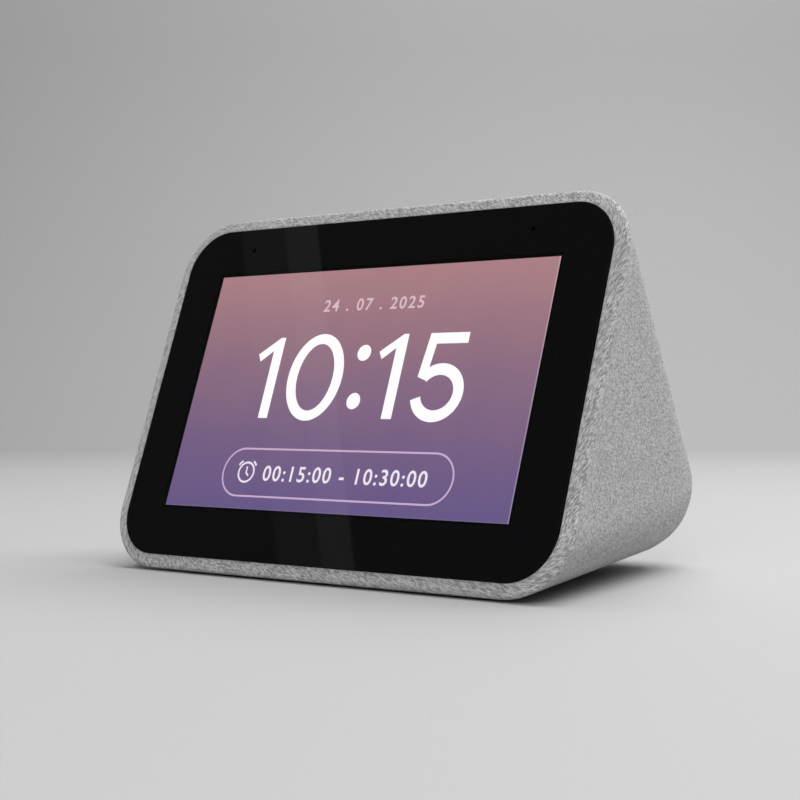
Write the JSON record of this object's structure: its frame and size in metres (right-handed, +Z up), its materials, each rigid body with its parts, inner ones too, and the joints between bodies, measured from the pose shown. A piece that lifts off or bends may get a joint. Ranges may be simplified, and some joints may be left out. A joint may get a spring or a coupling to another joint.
{
  "type": "smart home hub",
  "caption": "Bedside smart home hub: a tilted touch display in a wedge-shaped knitted body with volume keys, a speaker and a rear port panel.",
  "frame": {"origin": "middle of the footprint at the bottom of the rubber foot", "axes": "+Z up; the display faces -Y and leans back; +X to the viewer's right, along the longest side"},
  "size_m": [0.1134, 0.0796, 0.0772],
  "materials": {
    "knit_fabric": "light grey melange knit, fine vertical ribs",
    "cover_glass": "polished touch glass with a black border printed behind it",
    "touch_film": "clear laminated sensor film",
    "display_glass": "lit colour display",
    "black_plastic": "moulded, fine texture",
    "grey_plastic": "moulded, fine spark texture",
    "white_plastic": "moulded satin",
    "foot_rubber": "matt silicone rubber",
    "soft_rubber": "soft satin rubber",
    "foam_tape": "closed-cell black foam",
    "steel": "pressed, nickel plated",
    "aluminium": "rolled sheet",
    "circuit_board": "green solder mask",
    "chip_plastic": "moulded epoxy",
    "flex_circuit": "amber polyimide film",
    "copper_wire": "enamelled copper winding",
    "cone_paper": "black pressed paper"
  },
  "bodies": {
    "hub_body": {"fabric_cover": "knit_fabric", "body_shell": "black_plastic", "cover_glass": "cover_glass", "glass_adhesive": "foam_tape", "front_frame": "black_plastic", "touch_sensor": "touch_film", "lcd_panel": "display_glass", "backlight_unit": "white_plastic", "display_tray": "steel", "display_flex": "flex_circuit", "main_board": "circuit_board", "processor_shield": "steel", "processor_chip": "chip_plastic", "memory_chip": "chip_plastic", "wifi_module": "steel", "amplifier_chip": "chip_plastic", "heat_spreader": "aluminium", "board_screw_1": "steel", "board_screw_2": "steel", "board_screw_3": "steel", "board_screw_4": "steel", "mic_gasket_left": "foam_tape", "mic_gasket_right": "foam_tape", "mic_board_left": "circuit_board", "mic_board_right": "circuit_board", "antenna_left": "flex_circuit", "antenna_right": "flex_circuit", "speaker_box": "black_plastic", "speaker_baffle": "black_plastic", "speaker_basket": "steel", "speaker_magnet": "steel", "speaker_surround": "soft_rubber", "speaker_gasket": "foam_tape", "passive_surround_left": "soft_rubber", "passive_surround_right": "soft_rubber", "dome_switch_up": "steel", "dome_switch_down": "steel", "key_board": "circuit_board", "port_panel": "grey_plastic", "mute_switch": "steel", "usb_port": "steel", "dc_jack": "black_plastic", "io_board": "circuit_board", "base_plate": "grey_plastic", "rubber_foot": "foot_rubber", "base_screw_1": "steel", "base_screw_2": "steel", "base_screw_3": "steel", "base_screw_4": "steel", "speaker_lead": "soft_rubber", "io_cable": "white_plastic", "key_ribbon": "flex_circuit"},
    "volume_up": {"volume_up_key": "grey_plastic"},
    "volume_down": {"volume_down_key": "grey_plastic"},
    "mute_slider": {"mute_knob": "white_plastic"},
    "cone": {"speaker_cone": "cone_paper", "dust_cap": "cone_paper", "voice_coil": "copper_wire"},
    "left_radiator": {"passive_radiator_left": "aluminium"},
    "right_radiator": {"passive_radiator_right": "aluminium"}
  },
  "joints": [
    {"name": "volume_up_press", "type": "slide", "parent": "hub_body", "child": "volume_up", "axis": [0, -0.342, -0.9397], "range_m": [0, 0.0006], "stiffness_N_per_m": 1200},
    {"name": "volume_down_press", "type": "slide", "parent": "hub_body", "child": "volume_down", "axis": [0, -0.342, -0.9397], "range_m": [0, 0.0006], "stiffness_N_per_m": 1200},
    {"name": "mic_mute_slide", "type": "slide", "parent": "hub_body", "child": "mute_slider", "axis": [1, 0, 0], "range_m": [0, 0.0025]},
    {"name": "speaker_cone_travel", "type": "slide", "parent": "hub_body", "child": "cone", "axis": [0, 0.9324, 0.3615], "range_m": [-0.0012, 0.0012], "stiffness_N_per_m": 1500},
    {"name": "left_radiator_travel", "type": "slide", "parent": "hub_body", "child": "left_radiator", "axis": [-1, 0, 0], "range_m": [-0.0015, 0.0015], "stiffness_N_per_m": 800},
    {"name": "right_radiator_travel", "type": "slide", "parent": "hub_body", "child": "right_radiator", "axis": [1, 0, 0], "range_m": [-0.0015, 0.0015], "stiffness_N_per_m": 800}
  ]
}
